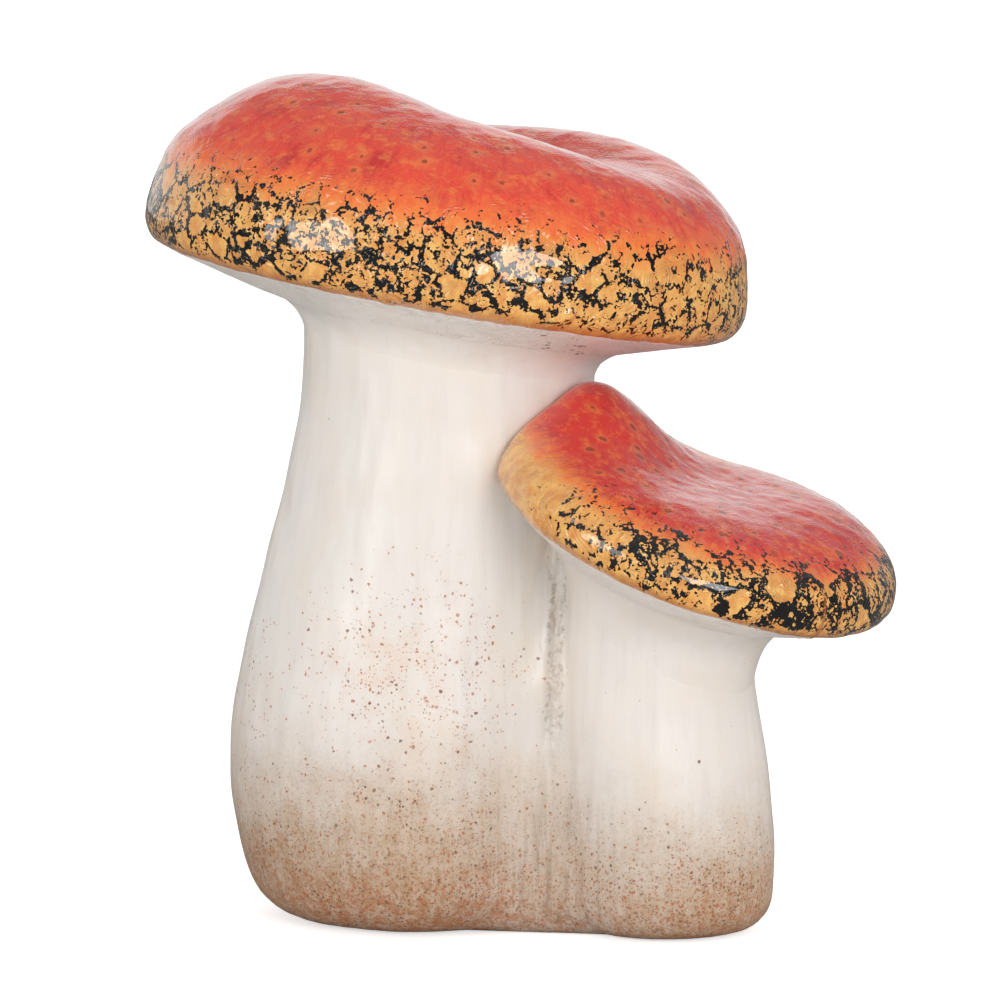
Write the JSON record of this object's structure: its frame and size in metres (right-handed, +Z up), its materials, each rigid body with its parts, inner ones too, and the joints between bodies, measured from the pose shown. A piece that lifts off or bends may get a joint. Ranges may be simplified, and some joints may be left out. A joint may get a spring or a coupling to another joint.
{
  "type": "ceramic mushroom ornament",
  "caption": "Glazed ceramic ornament of a tall and a short mushroom grown together at the foot, with lobed caps on thick hollow stems, which stands on its foot rings as decoration.",
  "frame": {"origin": "middle of the bounding box, on the surface that the ornament stands on", "axes": "+Z up, +X to the short mushroom's side, -Y towards the front"},
  "size_m": [0.1714, 0.131, 0.1944],
  "materials": {
    "cap_glaze": "gloss glaze, red crown over orange, sponged black round the rim",
    "stem_glaze": "satin off-white glaze, stained brown with rust speckle at the foot",
    "joining_slip": "satin off-white"
  },
  "bodies": {
    "root": {"large_stem": "stem_glaze", "large_cap": "cap_glaze", "large_neck_lute": "joining_slip", "small_stem": "stem_glaze", "small_cap": "cap_glaze", "small_neck_lute": "joining_slip", "stem_seam": "joining_slip"}
  },
  "joints": []
}
